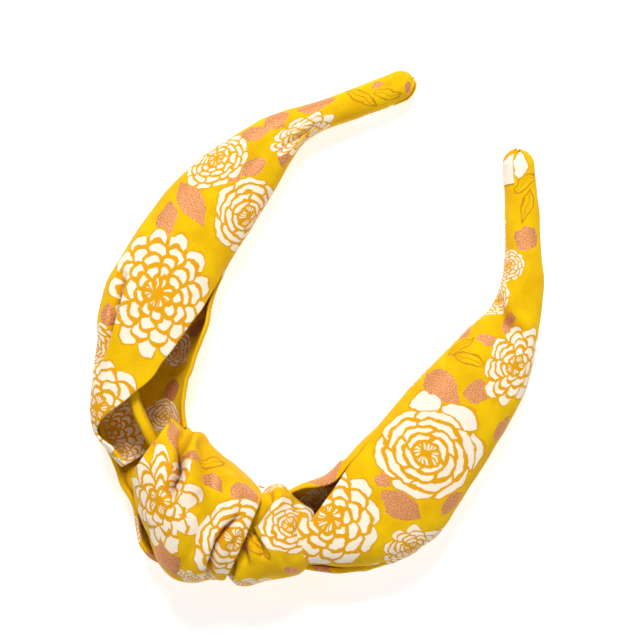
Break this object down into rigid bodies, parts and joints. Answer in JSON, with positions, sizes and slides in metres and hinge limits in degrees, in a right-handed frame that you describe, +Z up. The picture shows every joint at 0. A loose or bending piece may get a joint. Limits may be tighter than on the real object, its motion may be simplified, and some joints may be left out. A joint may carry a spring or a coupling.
{
  "type": "knotted headband",
  "caption": "Hard U-shaped headband with a wide printed cotton strip wrapped along it, knotted over the crown and tapering to both tips.",
  "frame": {"origin": "centre of the bounding box in plan, on the table under the headband", "axes": "+Z up from the table, +Y from the knot towards the tips, +X towards the right arm"},
  "size_m": [0.1412, 0.1842, 0.0386],
  "materials": {
    "band_plastic": "semi-matt moulded acetal, natural colour",
    "plain_cloth": "plain woven cotton, saturated yellow",
    "print_cloth": "fine woven cotton, yellow ground with cream flowers and copper metallic leaves",
    "clear_glue": "cured hot-melt glue",
    "yellow_thread": "spun polyester sewing thread"
  },
  "bodies": {
    "crown": {"core_band_crown": "band_plastic", "sleeve_crown": "plain_cloth", "knot_inner_pass": "print_cloth", "knot_front_lobe": "print_cloth", "knot_second_lobe": "print_cloth", "knot_rear_pass": "print_cloth", "knot_tack_stitch": "yellow_thread"},
    "left_arm": {"core_band_left": "band_plastic", "sleeve_left": "plain_cloth", "left_wrap": "print_cloth", "left_tip_fold": "print_cloth", "left_tip_glue": "clear_glue"},
    "right_arm": {"core_band_right": "band_plastic", "sleeve_right": "plain_cloth", "right_wrap": "print_cloth", "right_tip_fold": "print_cloth", "right_tip_glue": "clear_glue"}
  },
  "joints": [
    {"name": "left_flex", "type": "hinge", "parent": "crown", "child": "left_arm", "pos_m": [-0.02541, -0.05924, 0.0188], "axis": [0, 0.0889, 0.996], "range_deg": [-6, 16], "stiffness_Nm_per_rad": 0.7},
    {"name": "right_flex", "type": "hinge", "parent": "crown", "child": "right_arm", "pos_m": [0.03126, -0.05498, 0.01842], "axis": [0, -0.0889, -0.996], "range_deg": [-6, 16], "stiffness_Nm_per_rad": 0.7}
  ]
}
